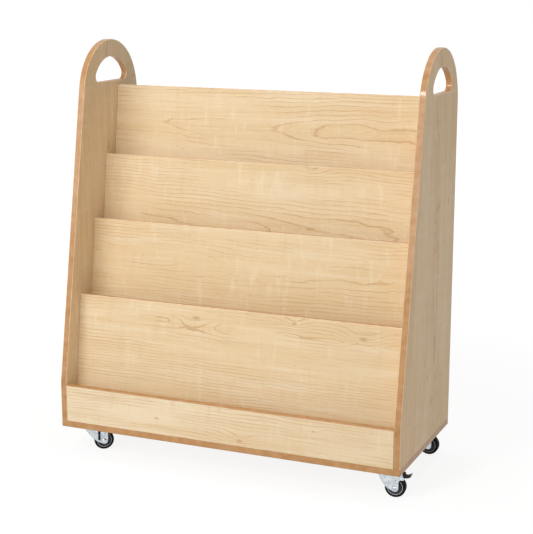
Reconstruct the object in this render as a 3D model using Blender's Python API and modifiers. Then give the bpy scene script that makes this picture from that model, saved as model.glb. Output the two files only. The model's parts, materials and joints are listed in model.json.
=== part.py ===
# Mobile book display shelf: two shaped end panels on a base board, a front lip, four leaning boards
# with a level shelf behind each of the lower three, and four swivel castors, two of them braked.
# Metres, +Z up, front towards -Y. The origin is on the floor, under the middle of the base board.
import math

import bmesh
import bpy
from mathutils import Vector

# Cabinet
overallWidth = 0.860
overallDepth = 0.386
panelThickness = 0.016
baseThickness = 0.016
boardThickness = 0.016
castorHeight = 0.068        # floor to the underside of the base board
edgeRounding = 0.0025       # sanded and lacquered board edges
seatGap = 0.0003            # between pieces that touch

# End panels
panelHeight = 0.903         # above the base board
frontEdgeHeight = 0.096     # upright part of the front edge, above the base board
frontEdgeBlend = 0.060      # radius where the upright part meets the slope
archRadius = 0.1315
handHoleRadius = 0.090
handHoleBack = 0.002        # centre of the hand hole, behind the centre of the arch
handHoleRise = 0.0305       # centre of the arch to the straight lower side of the hand hole
handHoleCorner = 0.014

# Front lip and leaning boards, heights above the base board
fasciaHeight = 0.0905
fasciaThickness = 0.016
boardLean = math.radians(7.5)
lipHeight = 0.095           # how far a board stands above the shelf behind it
shelfThickness = 0.016
tier2Top = 0.3006
tier2Setback = 0.0784       # front of the base board to the top front corner of the board
tier3Top = 0.4754
tier3Setback = 0.1554
tier4Top = 0.6260
tier4Setback = 0.2210
topBoardDrop = 0.1125       # top of the end panels to the top edge of the top board
topBoardSetback = 0.2879

# Castors
frontCastorInsetX = 0.054   # swivel axis from the end of the base board
frontCastorInsetY = 0.0515  # swivel axis from the front of the base board
rearCastorInsetX = 0.063
rearCastorInsetY = 0.039    # swivel axis from the back of the base board
castorOffset = 0.028        # swivel axis to wheel axle
wheelRadius = 0.024
tyreWidth = 0.018
tyreDepth = 0.0056
rimDepth = 0.0026
hubRadius = 0.0065
hubLength = 0.0214
webThickness = 0.008
axleRadius = 0.003
axleClearance = 0.0002
plateSize = 0.060
plateThickness = 0.0022
plateCorner = 0.007
screwSpacing = 0.045
screwShankRadius = 0.002
screwHeadRadius = 0.0042
screwHeadHeight = 0.0022
screwLength = 0.012         # from the underside of the head
raceRadius = 0.014          # ball circle of the swivel bearing
ballRadius = 0.0012
kingpinRadius = 0.004
forkHeadRadius = 0.021
forkSheet = 0.002
forkTopDrop = 0.0070        # underside of the base board to the top of the fork
forkInnerWidth = 0.0230
forkNose = 0.0170           # how far the fork reaches ahead of the swivel axis
forkTail = 0.0455           # and behind it, where it holds a brake pedal
legSlotWidth = 0.0060       # in the fork without a pedal
legSlotLength = 0.0260
legSlotX = 0.0142           # swivel axis to the middle of the slot
axleBossRadius = 0.0085
boltHeadRadius = 0.0056
boltHeadHeight = 0.0030

# Brake pedal, from the swivel axis and the floor
pedalPivotX = 0.0385
pedalPivotZ = 0.0530
pedalPinRadius = 0.0015
pedalReach = 0.0640
pedalInnerWidth = 0.0212
pedalPadWidth = 0.0280

# Direction in which each castor trails, from +X towards the back, and which ones have a brake
castorPlaces = {
    "front_left": (-1, -1, 36.0, False),
    "front_right": (1, -1, 6.0, True),
    "rear_left": (-1, 1, -5.0, True),
    "rear_right": (1, 1, 1.0, False),
}

# Worked out from the sizes above
halfWidth = overallWidth / 2
halfDepth = overallDepth / 2
innerHalf = halfWidth - panelThickness
deckZ = castorHeight + baseThickness
topBoardTop = panelHeight - topBoardDrop
tanLean = math.tan(boardLean)
plateTop = castorHeight - seatGap
plateBottom = plateTop - plateThickness
forkTop = castorHeight - forkTopDrop
forkOuterWidth = forkInnerWidth + 2 * forkSheet

finishes = {
    "maple_foil": ((0.78, 0.60, 0.38, 1), 0.45, 0.0),
    "lacquered_edge": ((0.55, 0.31, 0.14, 1), 0.40, 0.0),
    "zinc_plate": ((0.68, 0.71, 0.73, 1), 0.30, 1.0),
    "black_rubber": ((0.012, 0.012, 0.013, 1), 0.65, 0.0),
    "grey_nylon": ((0.18, 0.18, 0.20, 1), 0.45, 0.0),
    "black_plastic": ((0.015, 0.015, 0.015, 1), 0.40, 0.0),
}


def clearScene():
    for old in list(bpy.data.objects):
        bpy.data.objects.remove(old, do_unlink=True)


def makeCollection(name):
    collection = bpy.data.collections.new(name)
    bpy.context.scene.collection.children.link(collection)
    return collection


def dress(piece, finish):
    colour, roughness, metallic = finishes[finish]
    surface = bpy.data.materials.new(piece.name)
    surface.use_nodes = True
    shader = surface.node_tree.nodes["Principled BSDF"]
    shader.inputs["Base Color"].default_value = colour
    shader.inputs["Roughness"].default_value = roughness
    shader.inputs["Metallic"].default_value = metallic
    piece.data.materials.clear()
    piece.data.materials.append(surface)


def addPiece(name, mesh, finish):
    piece = bpy.data.objects.new(name, mesh)
    partCollection.objects.link(piece)
    dress(piece, finish)
    return piece


def addEmpty(name, place, turn=0.0, parent=None):
    empty = bpy.data.objects.new(name, None)
    partCollection.objects.link(empty)
    empty.empty_display_size = 0.02
    empty.location = place
    empty.rotation_euler = (0, 0, turn)
    empty.parent = parent
    return empty


def arc(centre, radius, start, end, steps):
    points = []
    for i in range(steps + 1):
        angle = math.radians(start + (end - start) * i / steps)
        points.append((centre[0] + radius * math.cos(angle), centre[1] + radius * math.sin(angle)))
    return points


def roundedCorner(corner, before, after, radius, steps=3):
    # points of an arc that rounds the corner between two straight sides
    toBefore = (Vector(before) - Vector(corner)).normalized()
    toAfter = (Vector(after) - Vector(corner)).normalized()
    half = toBefore.angle(toAfter) / 2
    centre = Vector(corner) + (toBefore + toAfter).normalized() * (radius / math.sin(half))
    first = Vector(corner) + toBefore * (radius / math.tan(half)) - centre
    last = Vector(corner) + toAfter * (radius / math.tan(half)) - centre
    turn = first.angle_signed(last)
    points = []
    for i in range(steps + 1):
        angle = -turn * i / steps
        points.append((centre.x + first.x * math.cos(angle) - first.y * math.sin(angle),
                       centre.y + first.x * math.sin(angle) + first.y * math.cos(angle)))
    return points


def outlineMesh(name, outlines, thickness):
    # a flat outline, filled and given its thickness; further outlines in it are holes
    curve = bpy.data.curves.new(name, "CURVE")
    curve.dimensions = "2D"
    curve.fill_mode = "BOTH"
    curve.extrude = thickness / 2
    for points in outlines:
        spline = curve.splines.new("POLY")
        spline.points.add(len(points) - 1)
        spline.use_cyclic_u = True
        for point, (x, y) in zip(spline.points, points):
            point.co = (x, y, 0, 1)
    drawn = bpy.data.objects.new(name, curve)
    partCollection.objects.link(drawn)
    bpy.context.view_layer.update()
    mesh = bpy.data.meshes.new_from_object(drawn.evaluated_get(bpy.context.evaluated_depsgraph_get()))
    bpy.data.objects.remove(drawn, do_unlink=True)
    bpy.data.curves.remove(curve)
    solid = bmesh.new()
    solid.from_mesh(mesh)
    bmesh.ops.remove_doubles(solid, verts=solid.verts, dist=0.00001)
    bmesh.ops.dissolve_limit(solid, angle_limit=0.001, verts=solid.verts, edges=solid.edges)
    bmesh.ops.recalc_face_normals(solid, faces=solid.faces)
    solid.to_mesh(mesh)
    solid.free()
    mesh.name = name
    return mesh


def boardAlongX(name, outlines, left, right, finish):
    # outlines hold (y, z) points
    board = addPiece(name, outlineMesh(name, outlines, right - left), finish)
    board.rotation_euler = (math.pi / 2, 0, math.pi / 2)
    board.location.x = (left + right) / 2
    return board


def turned(name, profile, steps, finish):
    # profile holds (radius, height) points of a closed loop, or of a line that ends on the axis,
    # and runs down its outer side
    mesh = bpy.data.meshes.new(name)
    line = bmesh.new()
    points = [line.verts.new((radius, 0, height)) for radius, height in profile]
    for first, second in zip(points, points[1:]):
        line.edges.new((first, second))
    if profile[0][0] > 0:
        line.edges.new((points[-1], points[0]))
    line.to_mesh(mesh)
    line.free()
    piece = addPiece(name, mesh, finish)
    screw = piece.modifiers.new("turn", "SCREW")
    screw.axis = "Z"
    screw.steps = steps
    screw.render_steps = steps
    screw.use_merge_vertices = True
    screw.merge_threshold = 0.00001
    screw.use_smooth_shade = True
    return piece


def cylinder(name, radius, low, high, steps=16):
    mesh = bpy.data.meshes.new(name)
    solid = bmesh.new()
    bmesh.ops.create_cone(solid, cap_ends=True, segments=steps, radius1=radius, radius2=radius,
                          depth=high - low)
    bmesh.ops.translate(solid, verts=solid.verts, vec=(0, 0, (low + high) / 2))
    solid.to_mesh(mesh)
    solid.free()
    return mesh


def combine(target, operation, mesh, place, rotation, parent):
    tool = bpy.data.objects.new(mesh.name, mesh)
    cutterCollection.objects.link(tool)
    tool.location = place
    tool.rotation_euler = rotation
    tool.parent = parent
    tool.hide_render = True
    tool.display_type = "WIRE"
    boolean = target.modifiers.new(mesh.name, "BOOLEAN")
    boolean.operation = operation
    boolean.solver = "EXACT"
    boolean.object = tool


def cut(target, mesh, place, rotation=(0, 0, 0), parent=None):
    combine(target, "DIFFERENCE", mesh, place, rotation, parent)


def unite(target, mesh, rotation=(0, 0, 0), parent=None):
    combine(target, "UNION", mesh, (0, 0, 0), rotation, parent)


def roundArrises(board, staysSquare):
    # staysSquare says which sharp edges are left as sawn, from the places of their two ends
    solid = bmesh.new()
    solid.from_mesh(board.data)
    weight = solid.edges.layers.float.new("bevel_weight_edge")
    for edge in solid.edges:
        sharp = edge.calc_face_angle(0) > math.radians(60)
        if sharp and not staysSquare(edge.verts[0].co, edge.verts[1].co):
            edge[weight] = 1.0
    solid.to_mesh(board.data)
    solid.free()
    rounding = board.modifiers.new("rounded arrises", "BEVEL")
    rounding.limit_method = "WEIGHT"
    rounding.width = edgeRounding
    rounding.segments = 2


def endPanelOutline():
    # (y, z): up the front edge, back along the slope, round the arch and down the back edge
    foot = deckZ + seatGap
    bend = Vector((-halfDepth, deckZ + frontEdgeHeight))
    archCentre = Vector((halfDepth - archRadius, deckZ + panelHeight - archRadius))
    reach = archCentre - bend
    slope = math.atan2(reach.y, reach.x) + math.asin(archRadius / reach.length)
    tangent = math.degrees(slope) + 90
    outline = [(halfDepth, foot)]
    outline += arc(archCentre, archRadius, 0, tangent, 30)
    above = archCentre + Vector((math.cos(math.radians(tangent)), math.sin(math.radians(tangent)))) * archRadius
    outline += roundedCorner(bend, above, (-halfDepth, foot), frontEdgeBlend, 4)
    outline.append((-halfDepth, foot))
    return outline, archCentre


def handHoleOutline(archCentre):
    centre = Vector((archCentre.x + handHoleBack, archCentre.y))
    floor = archCentre.y + handHoleRise
    cornerRise = handHoleRise + handHoleCorner
    cornerReach = math.sqrt((handHoleRadius - handHoleCorner) ** 2 - cornerRise ** 2)
    start = math.degrees(math.atan2(cornerRise, cornerReach))
    outline = arc(centre, handHoleRadius, start, 180 - start, 24)
    outline += arc((centre.x - cornerReach, floor + handHoleCorner), handHoleCorner, 180 - start, 270, 5)
    outline += arc((centre.x + cornerReach, floor + handHoleCorner), handHoleCorner, 270, 360 + start, 5)
    return outline


def makeEndPanel(name, side):
    outline, archCentre = endPanelOutline()
    inner = side * innerHalf
    outer = side * halfWidth
    panel = boardAlongX(name, [outline, handHoleOutline(archCentre)], min(inner, outer), max(inner, outer),
                        "maple_foil")
    # rounded all round the outline and the hand hole, and square at the foot and at its corners
    foot = deckZ + seatGap + 0.00001
    roundArrises(panel, lambda one, other: abs(one.z - other.z) > 0.00001 or max(one.y, other.y) < foot)
    return panel


def makeBaseBoard():
    bpy.ops.mesh.primitive_cube_add(size=1, location=(0, 0, castorHeight + baseThickness / 2))
    base = bpy.context.object
    base.name = "base_board"
    for collection in list(base.users_collection):
        collection.objects.unlink(base)
    partCollection.objects.link(base)
    base.scale = (overallWidth, overallDepth, baseThickness)
    bpy.ops.object.select_all(action="DESELECT")
    base.select_set(True)
    bpy.context.view_layer.objects.active = base
    bpy.ops.object.transform_apply(location=False, rotation=False, scale=True)
    dress(base, "lacquered_edge")
    # square along the top, where the panels and the lip stand flush with it
    roundArrises(base, lambda one, other: min(one.z, other.z) > 0)
    return base


def makeFascia():
    foot = deckZ + seatGap
    top = deckZ + fasciaHeight
    front = -halfDepth
    back = front + fasciaThickness
    outline = [(front, foot), (back, foot)]
    outline += roundedCorner((back, top), (back, foot), (front, top), edgeRounding)
    outline += roundedCorner((front, top), (back, top), (front, foot), edgeRounding)
    return boardAlongX("front_fascia", [outline], -innerHalf + seatGap, innerHalf - seatGap, "maple_foil")


def frontOfBoard(setback, top, z):
    # y of a leaning board's front face at height z
    return -halfDepth + setback - (deckZ + top - z) * tanLean


def backOfBoard(setback, top, z):
    return frontOfBoard(setback, top, z) + boardThickness / math.cos(boardLean)


def makeLeaningBoard(name, setback, top, footZ):
    topFront = Vector((-halfDepth + setback, deckZ + top))
    topBack = topFront + Vector((math.cos(boardLean), -math.sin(boardLean))) * boardThickness
    footFront = (frontOfBoard(setback, top, footZ), footZ)
    footBack = (backOfBoard(setback, top, footZ), footZ)
    outline = [footFront, footBack]
    outline += roundedCorner(topBack, footBack, topFront, edgeRounding)
    outline += roundedCorner(topFront, topBack, footFront, edgeRounding)
    return boardAlongX(name, [outline], -innerHalf + seatGap, innerHalf - seatGap, "maple_foil")


def makeTierShelf(name, lipBoard, nextBoard):
    # level board from the back of the lip board to under the foot of the next board
    upper = deckZ + lipBoard[1] - lipHeight
    lower = upper - shelfThickness
    outline = [
        (backOfBoard(*lipBoard, lower) + seatGap, lower),
        (backOfBoard(*nextBoard, upper), lower),
        (backOfBoard(*nextBoard, upper), upper),
        (backOfBoard(*lipBoard, upper) + seatGap, upper),
    ]
    return boardAlongX(name, [outline], -innerHalf + seatGap, innerHalf - seatGap, "maple_foil")


def makeTiers():
    boards = [
        ("tier_2_board", (tier2Setback, tier2Top)),
        ("tier_3_board", (tier3Setback, tier3Top)),
        ("tier_4_board", (tier4Setback, tier4Top)),
        ("top_board", (topBoardSetback, topBoardTop)),
    ]
    footZ = deckZ + seatGap
    for i, (name, place) in enumerate(boards):
        makeLeaningBoard(name, *place, footZ)
        if i + 1 < len(boards):
            makeTierShelf(f"tier_{i + 2}_shelf", place, boards[i + 1][1])
            footZ = deckZ + place[1] - lipHeight + seatGap


def screwPlaces():
    half = screwSpacing / 2
    return [(-half, -half), (half, -half), (half, half), (-half, half)]


def makePlate(name, mount):
    # pressed top plate with the upper race drawn down in its middle
    half = plateSize / 2
    corners = [(-half, -half), (half, -half), (half, half), (-half, half)]
    outline = []
    for i, corner in enumerate(corners):
        outline += roundedCorner(corner, corners[i - 1], corners[(i + 1) % 4], plateCorner)
    plate = addPiece(name + "_plate", outlineMesh(name + "_plate", [outline], plateThickness), "zinc_plate")
    plate.location.z = plateBottom + plateThickness / 2
    plate.parent = mount
    cut(plate, cylinder(name + "_kingpin_hole", kingpinRadius + seatGap, plateBottom - 0.001,
                        plateTop + 0.001), (0, 0, 0), parent=mount)
    for i, (x, y) in enumerate(screwPlaces()):
        cut(plate, cylinder(f"{name}_screw_hole_{i + 1}", screwShankRadius + seatGap, plateBottom - 0.001,
                            plateTop + 0.001, 12), (x, y, 0), parent=mount)
    return plate


def makeScrews(name, mount, base):
    # pan-head screws up through the plate into blind holes in the base board
    headTop = plateBottom - seatGap
    tip = headTop + screwLength
    profile = [
        (0, tip),
        (screwShankRadius, tip - 0.003),
        (screwShankRadius, headTop),
        (screwHeadRadius, headTop),
        (screwHeadRadius, headTop - screwHeadHeight * 0.4),
        (screwHeadRadius * 0.6, headTop - screwHeadHeight),
        (0, headTop - screwHeadHeight),
    ]
    for i, (x, y) in enumerate(screwPlaces()):
        screw = turned(f"{name}_screw_{i + 1}", profile, 8, "zinc_plate")
        screw.parent = mount
        screw.location = (x, y, 0)
        cut(base, cylinder(f"{name}_pilot_{i + 1}", screwShankRadius + seatGap, castorHeight - 0.001,
                           tip + seatGap, 8), (x, y, 0), parent=mount)


def makeBearing(name, swivel):
    # ring of balls in its cage, between the plate and the fork
    centre = (plateBottom + forkTop) / 2
    half = (plateBottom - forkTop) / 2 - seatGap
    profile = [(raceRadius + ballRadius * math.cos(math.radians(a)), centre + half * math.sin(math.radians(a)))
               for a in range(90, -270, -60)]
    ring = turned(name + "_bearing", profile, 20, "zinc_plate")
    ring.parent = swivel
    return ring


def makeKingpin(name, mount):
    # rivet that holds the fork up against the plate
    headBottom = forkTop - forkSheet - 0.0030
    profile = [
        (0, plateTop),
        (kingpinRadius, plateTop),
        (kingpinRadius, forkTop - forkSheet - seatGap),
        (kingpinRadius + 0.0030, forkTop - forkSheet - seatGap),
        (kingpinRadius + 0.0026, headBottom + 0.0010),
        (kingpinRadius, headBottom),
        (0, headBottom),
    ]
    pin = turned(name + "_kingpin", profile, 16, "zinc_plate")
    pin.parent = mount
    return pin


def forkLegOutline(braked):
    # (x, z) of one leg, x from the swivel axis towards the trailing side
    top = forkTop
    boss = (castorOffset, wheelRadius)
    outline = [(-forkNose, top), (-forkNose, wheelRadius + 0.0290), (-0.0075, wheelRadius + 0.0170),
               (0.0010, wheelRadius + 0.0070), (0.0100, wheelRadius - 0.0010)]
    outline += arc(boss, axleBossRadius, 245, 360, 7)
    throat = (castorOffset + axleBossRadius, wheelRadius + 0.0210)
    if braked:
        # a tail behind the throat carries the pedal
        outline += roundedCorner(throat, (throat[0], wheelRadius), (forkTail, throat[1]), 0.005, 4)
        outline += [(forkTail, throat[1]), (forkTail, top)]
    else:
        outline.append((throat[0], top))
    return outline


def makeFork(name, swivel, braked):
    # pressed steel: two legs and the web between them, with a round head under the bearing
    fork = addPiece(name + "_fork", outlineMesh(name + "_fork", [forkLegOutline(braked)], forkOuterWidth),
                    "zinc_plate")
    fork.rotation_euler = (math.pi / 2, 0, 0)
    fork.parent = swivel
    unite(fork, cylinder(name + "_fork_head", forkHeadRadius, forkTop - forkSheet, forkTop, 28), parent=swivel)
    # the wheel's space between the legs
    space = bpy.data.meshes.new(name + "_wheel_space")
    solid = bmesh.new()
    bmesh.ops.create_cube(solid, size=1)
    bmesh.ops.scale(solid, verts=solid.verts, vec=(0.12, forkInnerWidth, forkTop - forkSheet + 0.01))
    bmesh.ops.translate(solid, verts=solid.verts, vec=(0.02, 0, (forkTop - forkSheet - 0.01) / 2))
    solid.to_mesh(space)
    solid.free()
    cut(fork, space, (0, 0, 0), parent=swivel)
    cut(fork, cylinder(name + "_pin_clearance", kingpinRadius + seatGap, forkTop - 2 * forkSheet,
                       forkTop + 0.001), (0, 0, 0), parent=swivel)
    across = forkOuterWidth / 2 + 0.002
    cut(fork, cylinder(name + "_axle_holes", axleRadius + axleClearance, -across, across, 16),
        (castorOffset, 0, wheelRadius), (math.pi / 2, 0, 0), swivel)
    if braked:
        cut(fork, cylinder(name + "_pedal_pin_holes", pedalPinRadius + axleClearance, -across, across, 12),
            (pedalPivotX, 0, pedalPivotZ), (math.pi / 2, 0, 0), swivel)
    else:
        # each leg has one long slot
        half = legSlotWidth / 2
        high = forkTop - forkSheet - 0.0040 - half
        slot = arc((legSlotX, high), half, 0, 180, 6)
        slot += arc((legSlotX, high - legSlotLength + 2 * half), half, 180, 360, 6)
        cut(fork, outlineMesh(name + "_leg_slots", [slot], 2 * across), (0, 0, 0), (math.pi / 2, 0, 0), swivel)
    return fork


def makeAxle(name, swivel):
    # bolt with a hexagon head and nut outside the legs
    half = forkOuterWidth / 2 + seatGap
    shank = cylinder(name + "_axle", axleRadius, -half - 0.001, half + 0.001, 16)
    axle = addPiece(name + "_axle", shank, "zinc_plate")
    axle.parent = swivel
    axle.location = (castorOffset, 0, wheelRadius)
    axle.rotation_euler = (math.pi / 2, 0, 0)
    for end, side in (("head", 1), ("nut", -1)):
        hexagon = cylinder(f"{name}_axle_{end}", boltHeadRadius, half, half + boltHeadHeight, 6)
        unite(axle, hexagon, (0 if side > 0 else math.pi, 0, 0), axle)
    return axle


def makeWheel(name, spin):
    # hub, web and rim in one moulding, with a tyre pressed over it
    bore = axleRadius + axleClearance
    tyreInner = wheelRadius - tyreDepth
    rimOuter = tyreInner - seatGap
    rimInner = rimOuter - rimDepth
    halfHub = hubLength / 2
    halfWeb = webThickness / 2
    halfRim = tyreWidth / 2 - 0.0004
    core = turned(name + "_wheel", [
        (bore, halfHub), (hubRadius, halfHub), (hubRadius + 0.0008, halfWeb), (rimInner - 0.001, halfWeb),
        (rimInner, halfRim), (rimOuter, halfRim), (rimOuter, -halfRim), (rimInner, -halfRim),
        (rimInner - 0.001, -halfWeb), (hubRadius + 0.0008, -halfWeb), (hubRadius, -halfHub),
        (bore, -halfHub)], 24, "grey_nylon")
    halfTyre = tyreWidth / 2
    tyre = turned(name + "_tyre", [
        (tyreInner, halfTyre), (wheelRadius - 0.0026, halfTyre), (wheelRadius - 0.0006, halfTyre - 0.0022),
        (wheelRadius, halfTyre - 0.0055), (wheelRadius, -halfTyre + 0.0055),
        (wheelRadius - 0.0006, -halfTyre + 0.0022), (wheelRadius - 0.0026, -halfTyre),
        (tyreInner, -halfTyre)], 32, "black_rubber")
    for piece in (core, tyre):
        piece.parent = spin
        piece.rotation_euler = (math.pi / 2, 0, 0)


def makePedal(name, hinge, swivel):
    # moulded pedal: an arm between the legs with the shoe under it, and a wider pad with a raised tip
    armEnd = forkTail - pedalPivotX
    tip = pedalReach - pedalPivotX
    arm = [(-0.0045, 0.0030), (-0.0045, -0.0020), (-0.0015, -0.0040), (0.0030, -0.0072),
           (armEnd, -0.0072), (armEnd + 0.0035, -0.0050), (armEnd + 0.0035, 0.0030)]
    pad = [(armEnd + 0.0008, 0.0025), (armEnd + 0.0028, -0.0066), (0.0170, -0.0048), (tip - 0.0020, -0.0016),
           (tip, 0.0040), (tip - 0.0005, 0.0076), (tip - 0.0030, 0.0072), (0.0185, 0.0022),
           (0.0150, 0.0026), (0.0135, 0.0054), (0.0105, 0.0054)]
    pedal = addPiece(name + "_brake_pedal", outlineMesh(name + "_brake_pedal", [arm], pedalInnerWidth),
                     "black_plastic")
    pedal.parent = hinge
    pedal.rotation_euler = (math.pi / 2, 0, 0)
    unite(pedal, outlineMesh(name + "_pedal_pad", [pad], pedalPadWidth), (math.pi / 2, 0, 0), hinge)
    across = pedalInnerWidth / 2 + 0.002
    cut(pedal, cylinder(name + "_pedal_bore", pedalPinRadius + axleClearance, -across, across, 12),
        (0, 0, 0), (math.pi / 2, 0, 0), hinge)
    reach = forkOuterWidth / 2
    pin = addPiece(name + "_brake_pin", cylinder(name + "_brake_pin", pedalPinRadius, -reach, reach, 12),
                   "zinc_plate")
    pin.parent = swivel
    pin.location = (pedalPivotX, 0, pedalPivotZ)
    pin.rotation_euler = (math.pi / 2, 0, 0)


def castorAxis(place):
    sideX, sideY, trail, braked = castorPlaces[place]
    insetX, insetY = (frontCastorInsetX, frontCastorInsetY) if sideY < 0 else (rearCastorInsetX, rearCastorInsetY)
    return (sideX * (halfWidth - insetX), sideY * (halfDepth - insetY), 0)


def makeCastor(place, base):
    sideX, sideY, trail, braked = castorPlaces[place]
    name = "castor_" + place
    axis = castorAxis(place)
    mount = addEmpty(name + "_mount", axis)
    swivel = addEmpty(name + "_swivel", axis, math.radians(trail))
    spin = addEmpty(name + "_spin", (castorOffset, 0, wheelRadius), parent=swivel)
    makePlate(name, mount)
    makeScrews(name, mount, base)
    makeKingpin(name, mount)
    makeBearing(name, swivel)
    makeFork(name, swivel, braked)
    makeAxle(name, swivel)
    makeWheel(name, spin)
    if braked:
        hinge = addEmpty(name + "_pedal_hinge", (pedalPivotX, 0, pedalPivotZ), parent=swivel)
        makePedal(name, hinge, swivel)


clearScene()
partCollection = makeCollection("book_display_shelf")
cutterCollection = makeCollection("cutters")

baseBoard = makeBaseBoard()
makeEndPanel("left_end_panel", -1)
makeEndPanel("right_end_panel", 1)
makeFascia()
makeTiers()
for castorPlace in castorPlaces:
    makeCastor(castorPlace, baseBoard)
bpy.context.view_layer.update()
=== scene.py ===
# Looks of the mobile book display shelf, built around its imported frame. Metres, +Z up, front towards -Y.
import json
import math

import bmesh
import bpy
from mathutils import Matrix, Vector


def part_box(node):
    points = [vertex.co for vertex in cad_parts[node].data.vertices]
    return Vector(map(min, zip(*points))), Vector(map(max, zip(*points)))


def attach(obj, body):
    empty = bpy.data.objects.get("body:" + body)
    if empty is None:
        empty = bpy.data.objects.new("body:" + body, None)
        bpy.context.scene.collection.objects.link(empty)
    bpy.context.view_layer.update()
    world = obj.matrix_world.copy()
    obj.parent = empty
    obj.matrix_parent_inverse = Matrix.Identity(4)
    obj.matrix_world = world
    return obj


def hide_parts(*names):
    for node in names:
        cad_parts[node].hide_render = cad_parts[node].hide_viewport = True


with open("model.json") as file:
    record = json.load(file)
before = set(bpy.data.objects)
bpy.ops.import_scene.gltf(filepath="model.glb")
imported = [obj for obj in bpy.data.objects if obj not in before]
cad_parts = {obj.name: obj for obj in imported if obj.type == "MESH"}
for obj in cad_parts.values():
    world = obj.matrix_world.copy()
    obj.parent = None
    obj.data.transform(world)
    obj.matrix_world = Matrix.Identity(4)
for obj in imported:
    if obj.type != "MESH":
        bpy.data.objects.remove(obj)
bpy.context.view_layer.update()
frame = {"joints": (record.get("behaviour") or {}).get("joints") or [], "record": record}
bodyOf = {node: body for body, nodes in frame["record"]["behaviour"]["bodies"].items() for node in nodes}
jointAt = {joint["name"]: Vector(joint["pos_m"]) for joint in frame["joints"]}
hair = 0.00001  # points closer than this count as one place


def linearColour(hexText):
    # sRGB hex to the linear values that Blender's sockets hold
    channels = [int(hexText[i:i + 2], 16) / 255 for i in (1, 3, 5)]
    return [c / 12.92 if c <= 0.04045 else ((c + 0.055) / 1.055) ** 2.4 for c in channels] + [1.0]


def addNode(tree, kind, settings=None, links=None):
    # names that start with a small letter belong to the node, the others to its input sockets
    made = tree.nodes.new(kind)
    for name, value in (settings or {}).items():
        if isinstance(name, str) and name[0].islower():
            setattr(made, name, value)
        else:
            made.inputs[name].default_value = linearColour(value) if isinstance(value, str) else value
    for name, source in (links or {}).items():
        tree.links.new(source, made.inputs[name])
    return made


def newMaterial(name, values):
    # values go to the shader's own sockets
    material = bpy.data.materials.new(name)
    material.use_nodes = True
    shader = material.node_tree.nodes["Principled BSDF"]
    for socket, value in values.items():
        shader.inputs[socket].default_value = value
    return material, material.node_tree, shader


def clearSelection():
    if bpy.context.mode != "OBJECT":
        bpy.ops.object.mode_set(mode="OBJECT")
    bpy.ops.object.select_all(action="DESELECT")


def workOn(piece, mode="OBJECT"):
    # leaves the piece alone selected
    clearSelection()
    piece.select_set(True)
    bpy.context.view_layer.objects.active = piece
    if mode == "EDIT":
        bpy.ops.object.mode_set(mode="EDIT")
        bpy.ops.mesh.select_all(action="SELECT")


def pick(kind, test):
    # in edit mode: leaves the vertices, edges or faces that pass the test selected, and says how many
    bpy.ops.mesh.select_mode(type=kind)
    bpy.ops.mesh.select_all(action="DESELECT")
    mesh = bpy.context.object.data
    form = bmesh.from_edit_mesh(mesh)
    items = {"VERT": form.verts, "EDGE": form.edges, "FACE": form.faces}[kind]
    found = [item for item in items if test(item)]
    for item in found:
        item.select_set(True)
    form.select_flush_mode()
    bmesh.update_edit_mesh(mesh)
    return len(found)


def settle(name):
    # names the object at hand and puts its place into its mesh
    bpy.ops.object.transform_apply(location=True, rotation=True, scale=True)
    piece = bpy.context.object
    piece.name = name
    piece.data.name = name
    return piece


def moveBy(piece, matrix):
    piece.matrix_world = matrix @ piece.matrix_world
    workOn(piece)
    settle(piece.name)


def extrudeBy(step):
    bpy.ops.mesh.extrude_region_move(TRANSFORM_OT_translate={"value": step})


def addBox(name, low, high, rotation=(0, 0, 0)):
    clearSelection()
    low, high = Vector(low), Vector(high)
    bpy.ops.mesh.primitive_cube_add(size=1, location=(low + high) / 2, rotation=rotation, scale=high - low)
    return settle(name)


def arcPoints(centre, radius, start, end, steps):
    # points of an arc in its own plane, angles in degrees
    angles = [math.radians(start + (end - start) * i / steps) for i in range(steps + 1)]
    return [(centre[0] + radius * math.cos(a), centre[1] + radius * math.sin(a)) for a in angles]


def drawOutline(name, points, filled=True):
    # a small plane is drawn together to one vertex, which is extruded from point to point
    clearSelection()
    bpy.ops.mesh.primitive_plane_add(size=0.01, location=points[0])
    piece = settle(name)
    workOn(piece, "EDIT")
    bpy.ops.mesh.select_mode(type="VERT")
    bpy.ops.mesh.merge(type="CENTER")
    for before, after in zip(points, points[1:]):
        extrudeBy(Vector(after) - Vector(before))
    bpy.ops.mesh.select_all(action="SELECT")
    if filled:
        bpy.ops.mesh.edge_face_add()
    clearSelection()
    return piece


def thicken(piece, step):
    # gives a filled outline its thickness
    workOn(piece, "EDIT")
    extrudeBy(step)
    bpy.ops.mesh.select_all(action="SELECT")
    bpy.ops.mesh.normals_make_consistent(inside=False)
    clearSelection()
    return piece


def turn(name, profile, steps=64):
    # (radius, height) points round the Z axis: a closed loop, or a line that starts and ends on the axis
    closed = profile[0][0] > 0
    piece = drawOutline(name, [(radius, 0, height) for radius, height in profile], filled=closed)
    workOn(piece, "EDIT")
    if closed:
        bpy.ops.mesh.delete(type="ONLY_FACE")
        bpy.ops.mesh.select_all(action="SELECT")
    bpy.ops.mesh.spin(steps=steps, angle=math.tau, center=(0, 0, 0), axis=(0, 0, 1))
    bpy.ops.mesh.select_all(action="SELECT")
    bpy.ops.mesh.remove_doubles(threshold=0.000005)
    bpy.ops.mesh.normals_make_consistent(inside=False)
    clearSelection()
    return piece


def makeRod(name, radius, low, high, steps=32):
    # a plain rod up the Z axis, for washers and for cutting holes and grooves
    return turn(name, [(0, low), (radius, low), (radius, high), (0, high)], steps)


def combine(piece, operation, tool):
    workOn(piece)
    boolean = piece.modifiers.new("combine", "BOOLEAN")
    boolean.operation = operation
    boolean.solver = "EXACT"
    boolean.object = tool
    bpy.ops.object.modifier_apply(modifier=boolean.name)
    bpy.data.objects.remove(tool, do_unlink=True)


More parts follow.
